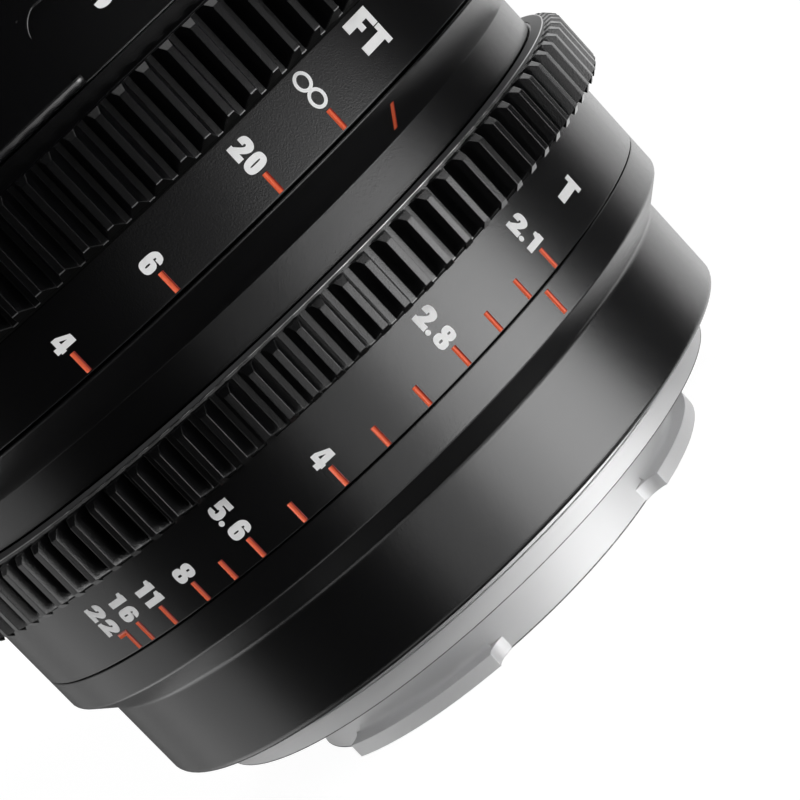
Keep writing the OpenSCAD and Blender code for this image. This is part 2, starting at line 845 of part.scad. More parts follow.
module fourth_element() {
    color(glass)
        element(rear_rim_r, z_fourth, fourth_h, fourth_bulge[0], fourth_bulge[1]);
}

module fifth_element() {
    color(glass)
        element(rear_rim_r, z_fifth, fifth_h, fifth_bulge[0], fifth_bulge[1]);
}

module rear_element() {
    color(glass)
        element(rear_rim_r, z_rear_glass, rear_glass_h, rear_bulge[0], rear_bulge[1]);
}

module front_retaining_ring() {
    color(dull_black)
        ring(front_rim_r - running, front_rim_r - ring_wall,
             z_front_retainer, z_front_retainer + front_retainer_h);
}

module second_retaining_ring() {
    color(dull_black)
        ring(second_rim_r - running, second_rim_r - ring_wall, z_second_retainer, z_front_shoulder);
}

module front_spacer() {
    color(dull_black)
        ring(third_rim_r - running, third_rim_r - ring_wall, z_third + third_h, z_second);
}

module rear_spacer() {
    color(dull_black)
        ring(rear_rim_r - running, rear_rim_r - ring_wall, z_rear_glass + rear_glass_h, z_fifth);
}

module rear_retaining_ring() {
    color(dull_black)
        ring(rear_rim_r - running, rear_rim_r - ring_wall, z_rear_retainer, z_rear_retainer + retainer_h);
}

// Iris unit

blade_step = 360 / blade_count;

module iris_base_plate() {
    color(dull_black)
        difference() {
            ring(iris_unit_r - seat, plate_bore_r, z_base_plate, z_base_plate + plate_h);
            for (k = [0 : blade_count - 1])
                rotate([0, 0, k * blade_step])
                    translate([pivot_circle_r, 0, z_base_plate - over])
                        cylinder(r = pivot_r + running, h = plate_h + 2 * over, $fn = 32);
        }
}

module iris_retaining_ring() {
    color(dull_black)
        ring(iris_unit_r - seat, plate_bore_r + 1, z_iris_retainer, z_iris_retainer + iris_retainer_h);
}

// Where a blade's drive pin lies on the cam ring, at a turn of the iris ring from the widest stop
pivot_point = [pivot_circle_r, 0];
function drive_point(turn) =
    turned(turned(polar(drive_circle_r, drive_angle), turn * blade_ratio, pivot_point), -turn, [0, 0]);

// Straight slot for one drive pin, laid along the middle of the pin's slightly bowed path.
// The pin goes in to its deepest point and comes back a little, which keeps the blade's turn
// in proportion to the ring's.
module drive_slot() {
    half_w = drive_r + drive_play;
    from = drive_point(0);
    along = drive_point(drive_deepest) - from;
    side = [-along[1], along[0]] / norm(along);
    bow = (drive_point(drive_deepest / 3) - from) * side;
    translate(from + side * bow / 2)
        rotate([0, 0, atan2(along[1], along[0])]) {
            translate([0, -half_w])
                square([norm(along), 2 * half_w]);
            for (end = [0, norm(along)])
                translate([end, 0])
                    circle(r = half_w, $fn = 32);
        }
}

module iris_cam_ring() {
    color(brass)
        difference() {
            ring(iris_unit_r - running, plate_bore_r, z_cam_ring, z_cam_ring + cam_ring_h);
            rotate([0, 0, iris_rest])
                for (k = [0 : blade_count - 1])
                    rotate([0, 0, k * blade_step])
                        translate([0, 0, z_cam_ring - over])
                            linear_extrude(cam_ring_h + 2 * over)
                                drive_slot();
            rotate([0, 0, fork_angle])
                translate([fork_foot_r - seat, -fork_w / 2 - seat, z_cam_ring - over])
                    cube([iris_unit_r, fork_w + 2 * seat, cam_ring_h + 2 * over]);
        }
}

module iris_drive_fork() {
    slot_w = 2 * (iris_pin_r + running);
    slot_z0 = z_iris_pin - focus_travel - iris_pin_r - pin_end_gap;
    slot_z1 = z_iris_pin + iris_pin_r + pin_end_gap;
    z0 = slot_z0 - fork_end_h;
    z1 = z_cam_ring + cam_ring_h;
    color(brass)
        difference() {
            intersection() {
                rotate([0, 0, fork_angle])
                    translate([fork_foot_r, -fork_w / 2, z0])
                        cube([fork_out_r, fork_w, z1 - z0]);
                union() {
                    ring(fork_out_r, fork_in_r, z0, z1);
                    bore(fork_out_r - 0.5, z_cam_ring, z1);
                }
            }
            rotate([0, 0, fork_angle])
                translate([fork_in_r - over, -slot_w / 2, slot_z0])
                    cube([fork_out_r - fork_in_r + 2 * over, slot_w, slot_z1 - slot_z0]);
        }
}

// Half the width of a blade at an angle along it, rounded off at both ends
function blade_half_w(a) =
    let (from_end = min(a - blade_head, blade_tip - a), full = (blade_out_r - iris_open_r) / 2)
    from_end >= blade_round ? full : full * sqrt(max(0.01, 1 - pow(1 - from_end / blade_round, 2)));

// One thin blade, wound so that it lies over the next one and under the one before
module iris_blade(number) {
    middle_r = (blade_out_r + iris_open_r) / 2;
    sections = [for (i = [0 : blade_sections])
        let (a = blade_head + (blade_tip - blade_head) * i / blade_sections,
             z = z_pivot + blade_rise * a * PI / 180, w = blade_half_w(a))
        [for (corner = [[-w, -1], [w, -1], [w, 1], [-w, 1]])
            [(middle_r + corner[0]) * cos(a), (middle_r + corner[0]) * sin(a), z + corner[1] * blade_t / 2]]];
    z_drive = z_pivot + blade_rise * drive_angle * PI / 180;
    color(dull_black)
        rotate([0, 0, (number - 1) * blade_step])
            translate([pivot_circle_r, 0, 0])
                rotate([0, 0, blade_rest])
                    translate([-pivot_circle_r, 0, 0]) {
                        polyhedron([for (s = sections) each s], strip_faces(blade_sections + 1));
                        translate([pivot_circle_r, 0, z_base_plate + 0.2])
                            cylinder(r = pivot_r, h = z_pivot - z_base_plate - 0.2, $fn = 32);
                        rotate([0, 0, drive_angle])
                            translate([drive_circle_r, 0, z_drive])
                                cylinder(r = drive_r, h = z_cam_ring + cam_ring_h - 0.2 - z_drive, $fn = 32);
                    }
}

bayonet_mount();
mount_screws();
mount_shim();
rear_baffle();
rear_housing();
guide_barrel();
index_collar();
front_barrel();
front_baffle();
iris_ring();
iris_drive_pin();
focus_ring();
focus_cam_sleeve();
lens_carriage();
cam_followers();
front_cell();
rear_cell();
front_element();
second_element();
third_element();
fourth_element();
fifth_element();
rear_element();
front_retaining_ring();
second_retaining_ring();
front_spacer();
rear_spacer();
rear_retaining_ring();
iris_base_plate();
iris_retaining_ring();
iris_cam_ring();
iris_drive_fork();
iris_blade(1);  // iris_blade_1
iris_blade(2);  // iris_blade_2
iris_blade(3);  // iris_blade_3
iris_blade(4);  // iris_blade_4
iris_blade(5);  // iris_blade_5
iris_blade(6);  // iris_blade_6
iris_blade(7);  // iris_blade_7
iris_blade(8);  // iris_blade_8
iris_blade(9);  // iris_blade_9
iris_blade(10);  // iris_blade_10
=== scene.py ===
"""Manual cinema prime lens: finishes, scales, thread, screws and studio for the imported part."""

import math

import bmesh
import bpy
import numpy as np
from mathutils import Matrix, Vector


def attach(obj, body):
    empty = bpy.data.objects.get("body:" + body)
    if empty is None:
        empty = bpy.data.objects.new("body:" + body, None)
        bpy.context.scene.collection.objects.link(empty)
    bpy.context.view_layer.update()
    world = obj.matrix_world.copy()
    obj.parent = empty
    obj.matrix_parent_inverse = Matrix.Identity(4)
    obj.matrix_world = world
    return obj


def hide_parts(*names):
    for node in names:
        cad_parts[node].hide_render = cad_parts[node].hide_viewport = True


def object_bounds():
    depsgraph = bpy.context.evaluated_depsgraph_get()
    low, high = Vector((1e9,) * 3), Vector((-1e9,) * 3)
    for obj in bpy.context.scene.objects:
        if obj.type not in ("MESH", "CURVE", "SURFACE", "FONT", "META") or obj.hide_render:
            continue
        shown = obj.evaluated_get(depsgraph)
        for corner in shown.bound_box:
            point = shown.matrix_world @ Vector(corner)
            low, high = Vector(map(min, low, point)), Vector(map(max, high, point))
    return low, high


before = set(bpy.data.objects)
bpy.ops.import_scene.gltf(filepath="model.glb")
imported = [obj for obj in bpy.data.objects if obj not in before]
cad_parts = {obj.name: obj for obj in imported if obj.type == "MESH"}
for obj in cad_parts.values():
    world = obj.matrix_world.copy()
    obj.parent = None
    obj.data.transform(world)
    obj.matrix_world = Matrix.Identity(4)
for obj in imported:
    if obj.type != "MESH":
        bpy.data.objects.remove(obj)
cad_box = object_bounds()

MM = 0.001

# Sizes are in mm and degrees: heights count from the mount's flange, angles from -Y towards +X

# Rings that carry marks
SCALE_R = 36.7
FOCUS_R = 40.0
CONE_FOOT_R, CONE_FOOT_Z, CONE_SLOPE = 36.5, 34.7, 1.0492

# Panel in the front barrel
PANEL_R = 39.1
PANEL_MIDDLE, PANEL_HALF = 31.9, 27.7
PANEL_START, PANEL_END = PANEL_MIDDLE - PANEL_HALF, PANEL_MIDDLE + PANEL_HALF
PANEL_TOP = 62.05
CORNER_R, CORNER_BROKEN = 2.2, 0.18

# Front barrel's rear edge: the middle and size of its rounding, and how far it runs on past the panel
EDGE_R, EDGE_Z, EDGE_ROUND = 39.2, 55.85, 0.8
EDGE_PAST_PANEL = 1.2

# Filter thread, gears and mount screws, whose angles count from +X
FILTER_R = 38.1
FILTER_Z = (86.05, 90.05)
IRIS_TEETH, FOCUS_TEETH = 96, 104
SCREW_CIRCLE_R = 26.9
SCREW_ANGLES = (20, 110, 200, 290)

# Marks of the T-stop scale: number and angle; the last number stands beside its tick
STOPS = (("2.1", 35.9), ("", 29.52), ("", 23.19), ("2.8", 16.81), ("", 9.55), ("", 2.29), ("4", -4.97),
         ("", -12.0), ("5.6", -19.2), ("", -24.26), ("8", -29.4), ("11", -35.92), ("16", -40.96))
STOP_END = 20.02
LAST_STOP, LAST_STOP_ANGLE, LAST_STOP_END = "22", -45.7, 19.86
LAST_TICK_ANGLE, LAST_TICK_ARM = -44.0, 1.1
STOP_TICK = {"start": 19.7, "length": 2.02, "width": 0.5}
STOP_SIGN_ANGLE, STOP_SIGN_END = 47.1, 20.0

# Marks of the distance scale
FEET = (("20", 12.94), ("6", -3.21), ("4", -16.9), ("3", -33.5), ("2", -58.0), ("1.5", -85.4))
INFINITY_ANGLE = 23.71
FEET_END = 41.03
FEET_TICK = {"start": 40.65, "length": 2.0, "width": 0.53}
FEET_SIGN_ANGLE, FEET_SIGN_END = 34.7, 40.85

# Index lines and the number on the panel
INDEX_ANGLE, CONE_ANGLE = 32.0, 31.3
INDEX_TICK = {"start": 17.08, "length": 2.46, "width": 0.54}
CONE_TICK_TOP, CONE_TICK_LENGTH, CONE_TICK_WIDTH = 37.3, 2.77, 0.48
PANEL_NUMBER, PANEL_NUMBER_START, PANEL_NUMBER_Z, PANEL_NUMBER_HEIGHT = "50", 12.1, 59.65, 2.7

# Paint reaches from below the surface to a little above it
PAINT_FOOT, PAINT_TOP = -0.06, 0.03
NUMBER_HEIGHT, SIGN_HEIGHT = 2.02, 3.05

# Width of each character, and the gap in front of it, at a height of 2 mm
GLYPH_HEIGHT = 2.0
GLYPH_W = {"0": 1.31, "1": 0.96, "2": 1.43, "3": 1.36, "4": 1.33, "5": 1.33, "6": 1.29, "8": 1.4,
           ".": 0.5, "F": 1.15, "T": 1.14}
GLYPH_GAP = {"0": 0.19, "1": 0.24, "2": 0.24, "3": 0.24, "4": 0.24, "5": 0.24, "6": 0.4, "8": 0.29,
             ".": 0.06, "F": 0.1, "T": 0.06}
POINT_SHARE = 0.25

# Section of a painted groove: place between its edges, from -1 to 1, and lift
GROOVE = ((-1, PAINT_FOOT), (-1, 0.0), (-0.92, PAINT_TOP), (-0.7, PAINT_TOP), (-0.35, 0.018), (0, 0.012),
          (0.35, 0.018), (0.7, PAINT_TOP), (0.92, PAINT_TOP), (1, 0.0), (1, PAINT_FOOT))


# Meshes


def grid_faces(rows, columns, wrap_rows=False, wrap_columns=False):
    """Quads of a grid of rows by columns points; a wrapped direction joins its last line to its first."""
    i, j = np.meshgrid(np.arange(rows if wrap_rows else rows - 1),
                       np.arange(columns if wrap_columns else columns - 1), indexing="ij")
    i2, j2 = (i + 1) % rows, (j + 1) % columns
    corners = [i * columns + j, i2 * columns + j, i2 * columns + j2, i * columns + j2]
    return np.stack(corners, -1).reshape(-1, 4)


def tube_faces(rows, columns, loop=False):
    """Faces of a closed profile of columns points carried along rows places; the two ends get a cap
    each, unless the path is a loop."""
    faces = grid_faces(rows, columns, loop, True).tolist()
    last = rows * columns
    return faces if loop else faces + [list(range(columns))[::-1], list(range(last - columns, last))]


def joined(parts):
    """Puts several (points, faces) pairs into one, with the faces' numbers moved up."""
    points, faces, start = [], [], 0
    for part_points, part_faces in parts:
        points.append(part_points)
        faces.extend([[corner + start for corner in face] for face in part_faces])
        start += len(part_points)
    return np.concatenate(points), faces


def piece(name, points, faces, finish, body, smooth=True, across=None):
    """A mesh object of points in metres, with one finish, that rides on a body of the part. Across is
    each point's place between the two edges of a groove, from -1 to 1."""
    mesh = bpy.data.meshes.new(name)
    mesh.from_pydata(np.asarray(points).tolist(), [], [list(f) for f in faces])
    mesh.polygons.foreach_set("use_smooth", np.full(len(mesh.polygons), smooth))
    mesh.update()
    if across is not None:
        mesh.attributes.new("across", "FLOAT", "POINT").data.foreach_set("value", across)
    shape = bmesh.new()
    shape.from_mesh(mesh)
    bmesh.ops.recalc_face_normals(shape, faces=shape.faces)
    shape.to_mesh(mesh)
    shape.free()
    mesh.materials.append(finish)
    made = bpy.data.objects.new(name, mesh)
    bpy.context.scene.collection.objects.link(made)
    if body:
        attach(made, body)
    return made


def around(radius, turn, height):
    """Points round the axis, in metres: a radius and a height in mm, and an angle in radians from -Y
    towards +X, spread over each other as a grid."""
    radius, turn, height = np.broadcast_arrays(radius, turn, height)
    return np.stack([radius * np.sin(turn), -radius * np.cos(turn), height], -1).reshape(-1, 3) * MM


def on_ring(radius, angle, height, along, across, lift):
    """Wraps flat points round the axis: along runs towards the mount from a height, across runs
    round the ring from an angle, and lift stands off the surface."""
    return around(radius + lift, math.radians(angle) + across / radius, height - along)


# Marks


def curve_through(points, steps=5):
    """A smooth line through points: between two neighbours, the cubic that leaves each one parallel to
    the chord of its own two neighbours."""
    p = np.asarray(points, dtype=float)
    before = np.vstack([2 * p[0] - p[1], p[:-1]])[:-1]
    after = np.vstack([p[1:], 2 * p[-1] - p[-2]])[1:]
    a, b = p[:-1, None], p[1:, None]
    t = np.linspace(0, 1, steps, endpoint=False)[None, :, None]
    leave_a, leave_b = (b - before[:, None]) / 2, (after[:, None] - a) / 2
    line = ((2 * t**3 - 3 * t**2 + 1) * a + (t**3 - 2 * t**2 + t) * leave_a
            + (3 * t**2 - 2 * t**3) * b + (t**3 - t**2) * leave_b)
    return np.vstack([line.reshape(-1, 2), p[-1:]])


def oval(x, y, half_x, half_y, power=2.6, steps=36):
    """A rounded box: a circle whose cosine and sine are raised to a power below one."""
    turn = np.linspace(0, 2 * math.pi, steps, endpoint=False)
    c, s = np.cos(turn), np.sin(turn)
    return np.stack([x + half_x * np.sign(c) * abs(c) ** (2 / power),
                     y + half_y * np.sign(s) * abs(s) ** (2 / power)], -1)


def plate_points(one, other):
    """The four edges of a plate between two lines, foot and top of each, point by point."""
    ones = np.ones((len(one), 1))
    return np.stack([np.hstack([one, 0 * ones]), np.hstack([one, ones]), np.hstack([other, ones]),
                     np.hstack([other, 0 * ones])], 1).reshape(-1, 3)


def ring_plate(outer, inner):
    """A plate between two closed lines: its four edges are carried round together."""
    return plate_points(outer, inner), tube_faces(len(outer), 4, loop=True)


def band_plate(one, other):
    """A plate between two open lines, closed at both ends."""
    return plate_points(one, other), tube_faces(len(one), 4)


def block(x0, y0, x1, y1, steps=7):
    """A plate in the shape of an upright box, between its left and its right edge."""
    y = np.linspace(y0, y1, steps)
    return band_plate(np.stack([0 * y + x0, y], -1), np.stack([0 * y + x1, y], -1))


def bowl(outer, inner):
    """A plate between two smooth lines that are each given by a few points."""
    return band_plate(curve_through(outer), curve_through(inner))


# Heavy numerals with slit-like counters: each is made of plates in a box of 1 by 1
CHARACTERS = {
    ".": [ring_plate(oval(0.5, 0.5, 0.5, 0.5, 2), oval(0.5, 0.5, 0.02, 0.02, 2))],
    "0": [ring_plate(oval(0.5, 0.5, 0.5, 0.5), oval(0.5, 0.5, 0.055, 0.27))],
    "1": [block(0.36, 0, 1, 1),
          band_plate([(0, 0.93), (0.5, 0.98)], [(0, 0.76), (0.5, 0.64)])],
    "2": [bowl([(0, 0.6), (0, 0.74), (0.12, 0.92), (0.4, 1), (0.75, 0.97), (0.97, 0.84), (1, 0.66),
                (0.86, 0.46), (0.6, 0.25)],
               [(0.42, 0.6), (0.42, 0.66), (0.43, 0.7), (0.47, 0.73), (0.53, 0.72), (0.56, 0.68),
                (0.55, 0.62), (0.4, 0.47), (0, 0.2)]),
          block(0, 0, 1, 0.28, 3)],
    "3": [bowl([(0.02, 0.72), (0.08, 0.9), (0.3, 0.99), (0.55, 1), (0.85, 0.93), (0.96, 0.76),
                (0.85, 0.57), (0.55, 0.5)],
               [(0.42, 0.71), (0.43, 0.75), (0.46, 0.77), (0.5, 0.78), (0.55, 0.75), (0.55, 0.69),
                (0.5, 0.63), (0.36, 0.61)]),
          bowl([(0.55, 0.54), (0.88, 0.5), (1, 0.32), (0.95, 0.12), (0.7, 0.01), (0.4, 0), (0.1, 0.08),
                (0, 0.28)],
               [(0.36, 0.42), (0.5, 0.41), (0.57, 0.36), (0.57, 0.28), (0.52, 0.23), (0.47, 0.23),
                (0.43, 0.25), (0.42, 0.3)])],
    "4": [block(0.5, 0, 0.9, 1),
          block(0, 0.17, 1, 0.42, 3),
          band_plate([(0.003, 0.412), (0.38, 1)], [(0.3, 0.42), (0.51, 0.76)]),
          band_plate([(0.375, 0.985), (0.51, 1)], [(0.5, 0.74), (0.51, 0.74)])],
    "5": [block(0.1, 0.74, 0.95, 1, 3),
          block(0.07, 0.42, 0.44, 0.8),
          bowl([(0.3, 0.62), (0.6, 0.66), (0.9, 0.58), (1, 0.34), (0.92, 0.1), (0.65, 0), (0.3, 0.01),
                (0.06, 0.1), (0, 0.27)],
               [(0.3, 0.43), (0.44, 0.46), (0.54, 0.43), (0.57, 0.34), (0.55, 0.26), (0.5, 0.22),
                (0.45, 0.23), (0.42, 0.26), (0.42, 0.29)])],
    "6": [ring_plate(oval(0.5, 0.32, 0.5, 0.32), oval(0.5, 0.32, 0.06, 0.13)),
          bowl([(0.004, 0.31), (0, 0.55), (0.06, 0.8), (0.28, 0.97), (0.55, 1), (0.82, 0.95),
                (0.97, 0.8), (0.98, 0.68)],
               [(0.3, 0.32), (0.42, 0.55), (0.43, 0.68), (0.46, 0.75), (0.5, 0.77), (0.54, 0.75),
                (0.56, 0.72), (0.57, 0.68)])],
    "8": [ring_plate(oval(0.5, 0.27, 0.5, 0.27), oval(0.5, 0.265, 0.08, 0.1)),
          ring_plate(oval(0.5, 0.745, 0.47, 0.255), oval(0.5, 0.75, 0.07, 0.085))],
    "F": [block(0, 0, 0.5, 1), block(0.4, 0.79, 1, 1, 3), block(0.4, 0.36, 0.82, 0.58, 3)],
    "T": [block(0, 0.79, 1, 1, 3), block(0.26, 0, 0.74, 0.85)],
}


def paint_lift(level):
    """The lift of paint whose level runs from 0 at its foot to 1 at its top."""
    return PAINT_FOOT + (PAINT_TOP - PAINT_FOOT) * level


def number(text, radius, angle, end, height=NUMBER_HEIGHT):
    """Characters of a number on a ring, set from its last one, which ends at height `end` on the axis,
    towards the front; their middle lies on the angle and their tops point to larger angles."""
    parts, z = [], end
    for letter in reversed(text):
        width = GLYPH_W[letter] * height / GLYPH_HEIGHT
        tall = POINT_SHARE * height if letter == "." else height
        for points, faces in CHARACTERS[letter]:
            along = (points[:, 0] - 1) * width
            across = points[:, 1] * tall - height / 2
            parts.append((on_ring(radius, angle, z, along, across, paint_lift(points[:, 2])), faces))
        z += width + GLYPH_GAP[letter] * height / GLYPH_HEIGHT
    return parts


def number_round(text, radius, start, middle, height):
    """Characters of a number that runs round a ring from an angle, with their tops to the front."""
    parts, across_start = [], 0.0
    for letter in text:
        width = GLYPH_W[letter] * height / GLYPH_HEIGHT
        for points, faces in CHARACTERS[letter]:
            across = across_start + points[:, 0] * width
            along = height / 2 - points[:, 1] * height
            parts.append((on_ring(radius, start, middle, along, across, paint_lift(points[:, 2])), faces))
        across_start += width + GLYPH_GAP[letter] * height / GLYPH_HEIGHT
    return parts


def strip(length, width, arm=0.0):
    """A painted groove: a hollowed profile carried along a line, with square ends. With an arm, the line
    starts off to the side and turns a corner, where the section stands on the corner's half angle."""
    steps, arm_steps = 9, 4
    place, lift = np.array(GROOVE, dtype=float).T
    half = width / 2
    line = np.stack([np.linspace(0, length, steps), np.zeros(steps)], -1)
    side = np.tile([0.0, 1.0], (steps, 1))
    if arm:
        line[0, 0] = half
        reach = np.linspace(-arm, 0, arm_steps, endpoint=False)
        line = np.vstack([np.stack([np.full(arm_steps, half), reach], -1), line])
        side = np.vstack([np.tile([-1.0, 0.0], (arm_steps, 1)), [[-1.0, 1.0]], side[1:]])
    along = line[:, :1] + half * side[:, :1] * place
    across = line[:, 1:] + half * side[:, 1:] * place
    rows = len(line)
    faces = tube_faces(rows, len(place))
    return along.ravel(), across.ravel(), np.tile(lift, rows), faces, np.tile(place, rows)


def tick(radius, angle, start, length, width, arm=0.0):
    """A painted groove on a ring, from a height towards the mount."""
    along, across, lift, faces, place = strip(length, width, arm)
    return on_ring(radius, angle, start, along, across, lift), faces, place


def cone_line(angle):
    """The index line on the collar's cone: a painted groove that climbs with the cone's slope."""
    along, across, lift, faces, place = strip(CONE_TICK_LENGTH, CONE_TICK_WIDTH)
    slope = math.hypot(1, CONE_SLOPE)
    rise = (CONE_TICK_TOP - CONE_FOOT_Z) - along / slope
    reach = CONE_FOOT_R + CONE_SLOPE * rise + lift / slope
    height = CONE_FOOT_Z + rise - lift * CONE_SLOPE / slope
    return around(reach, math.radians(angle) + across / reach, height), faces, place


def grooves(name, ticks, body):
    """One piece of several painted grooves."""
    made = joined([(points, faces) for points, faces, _ in ticks])
    places = np.concatenate([place for *_, place in ticks])
    return piece(name, *made, scale_orange, body, smooth=False, across=places)


def loop_sign(radius, angle, end):
    """The sign for far away: two flat elliptic rings side by side. A ring is a rectangle of its stroke
    and thickness carried round an ellipse."""
    half_along, half_across, half_stroke = 0.76, 0.66, 0.15
    turn = np.linspace(0, 2 * math.pi, 40, endpoint=False)[:, None]
    stroke = half_stroke * np.array([-1, -1, 1, 1])
    lift = np.tile([PAINT_FOOT, PAINT_TOP, PAINT_TOP, PAINT_FOOT], len(turn))
    parts = []
    for middle in (0.86, 2.58):
        along = -middle + (half_along + stroke) * np.cos(turn)
        across = (half_across + stroke) * np.sin(turn)
        points = on_ring(radius, angle, end, along.ravel(), across.ravel(), lift)
        parts.append((points, tube_faces(len(turn), 4, loop=True)))
    return parts


# Trim


def turned(profile, start=0.0, end=360.0, steps=360):
    """A closed profile of radius and height points, carried round the axis from one angle to another."""
    whole = end - start >= 360.0
    turn = np.radians(np.linspace(start, end, steps, endpoint=not whole))[:, None]
    radius, height = np.array(profile).T
    return around(radius, turn, height), tube_faces(steps, len(profile), loop=whole)


def bead(radius, height, size):
    """The profile of a thin round wire: a circle of 10 points."""
    turn = np.linspace(0, 2 * math.pi, 10, endpoint=False)
    return np.stack([radius + size * np.cos(turn), height + size * np.sin(turn)], -1)


def tooth_plates(teeth, corners, widths, between=False):
    """Small plates on a gear, one on each tooth or in each space. The corners are four points of radius
    and height round the plate's section, and the widths are its sizes round the axis there."""
    radius, height = np.tile(np.array(corners).T, 2)
    side = np.concatenate([-np.array(widths), np.array(widths)]) / 2 / radius
    first = 0.5 if between else 0.0
    angle = np.radians(360.0 / teeth * (np.arange(teeth) + first))[:, None] + side
    points = np.stack([radius * np.cos(angle), radius * np.sin(angle), height + 0 * angle], -1)
    sides = np.array([[0, 1, 2, 3], [7, 6, 5, 4], [0, 4, 5, 1], [1, 5, 6, 2], [2, 6, 7, 3], [3, 7, 4, 0]])
    faces = sides[None] + 8 * np.arange(teeth)[:, None, None]
    return points.reshape(-1, 3) * MM, faces.reshape(-1, 4)


def glint_bars(teeth, radius, height, width, between=False):
    """Glints on the rear edges of a gear's teeth, or of the spaces between them: thin bars of one width."""
    inner, outer = radius - 0.04, radius + 0.025
    rear, front = height - 0.05, height + 0.05
    corners = [(inner, rear), (outer, rear), (outer, front), (inner, front)]
    return tooth_plates(teeth, corners, [width] * 4, between)


# Panel, thread and screws


def corner_points(side, turn, reach, lift):
    """Points round one corner of the panel: at a reach from the middle of its arc and a lift off the
    panel's floor."""
    across = side * (math.radians(PANEL_HALF) * FOCUS_R - CORNER_R + reach * np.cos(turn)) / FOCUS_R
    height = PANEL_TOP - CORNER_R + reach * np.sin(turn)
    return around(PANEL_R + lift, math.radians(PANEL_MIDDLE) + across, height)


def panel_corner(side):
    """One round corner of the panel: what lies between the square corner and an arc, from the panel's
    floor to the barrel's surface. The arc's edge is broken, and the outer side lies in the wall."""
    bite, sink, below = 0.22, 0.02, 0.004
    depth = FOCUS_R - PANEL_R
    turn = np.linspace(0, math.pi / 2, 17)[:, None]
    outer = CORNER_R / np.maximum(np.cos(turn), np.sin(turn)) + bite
    inner = np.full_like(turn, CORNER_R)
    reach = np.concatenate([inner, inner, inner + CORNER_BROKEN, outer, outer], 1)
    lift = np.array([-sink, depth - CORNER_BROKEN, depth - below, depth - below, -sink])
    return corner_points(side, turn, reach, lift), tube_faces(len(turn), len(lift))


def panel_arc(side):
    """A thin round wire along the broken edge of one panel corner, thinner towards its ends."""
    thickest, first, swell = 0.075, 0.05, 1.6
    turn = np.linspace(first, math.pi / 2, 25)[:, None]
    ring = np.linspace(0, 2 * math.pi, 10, endpoint=False)
    size = thickest * np.sqrt(np.sin(np.clip(turn * swell, first, math.pi / 2)))
    reach = CORNER_R + CORNER_BROKEN / 2 + size * np.cos(ring)
    lift = FOCUS_R - PANEL_R - CORNER_BROKEN / 2 + size * np.sin(ring)
    return corner_points(side, turn, reach, lift), tube_faces(len(turn), len(ring))


def filter_thread():
    """The filter thread: a zigzag of 0.75 mm pitch whose crests run up with the turn, as a tube whose
    outer side lies in the barrel's wall."""
    pitch, crest, root, fade = 0.75, 0.36, 0.02, 0.3
    turns, lines = 144, 70
    turn = np.linspace(0, 2 * math.pi, turns, endpoint=False)[:, None]
    low, high = FILTER_Z[0] + 0.05, FILTER_Z[1] - 0.3
    z = np.linspace(low, high, lines)[None, :]
    wave = np.abs(((z / pitch - turn / (2 * math.pi)) % 1) - 0.5) * 2
    ends = np.clip(np.minimum(z - low, high - z) / fade, 0, 1)
    inner = FILTER_R + root - crest * wave * ends
    radius = np.concatenate([inner, np.full((turns, 2), FILTER_R + 0.3)], 1)
    height = np.tile(np.append(z, [high, low]), (turns, 1))
    points = np.stack([radius * np.cos(turn), radius * np.sin(turn), height], -1) * MM
    return points.reshape(-1, 3), grid_faces(turns, lines + 2, True, True)[:, ::-1]


def crossed_screw(angle):
    """A mount screw: a turned profile from the middle of its head to the end of its shank, with a cross
    pressed into the head; the cross is deep where a point lies near one of two crossing lines."""
    turns, head_top = 64, 0.1
    half_slot, slot_wall, slot_reach, slot_end, slot_depth = 0.30, 0.1, 1.15, 0.25, 0.75
    inside = np.linspace(0.03, 1.45, 18)
    outer = np.array([[1.72, head_top], [1.86, 0.16], [1.9, 0.3], [1.9, 1.3], [1.0, 1.3], [1.0, 4.9],
                      [0.03, 5.0]])
    radius = np.concatenate([inside, outer[:, 0]])
    depth = np.concatenate([np.full(len(inside), head_top), outer[:, 1]])
    turn = np.linspace(0, 2 * math.pi, turns, endpoint=False)[:, None]
    x, y = radius * np.cos(turn), radius * np.sin(turn)
    near = np.clip((half_slot - np.minimum(abs(x), abs(y))) / slot_wall, 0, 1)
    far = np.clip((slot_reach - np.maximum(abs(x), abs(y))) / slot_end, 0, 1)
    height = depth + slot_depth * near * far * (radius < 1.5)
    c, s = math.cos(math.radians(angle)), math.sin(math.radians(angle))
    points = np.stack([SCREW_CIRCLE_R * c + x * c - y * s, SCREW_CIRCLE_R * s + x * s + y * c, height], -1)
    count = len(radius)
    middles = np.arange(turns) * count
    faces = grid_faces(turns, count, True).tolist()
    faces += [middles.tolist(), (middles + count - 1)[::-1].tolist()]
    return points.reshape(-1, 3) * MM, faces


# Finishes


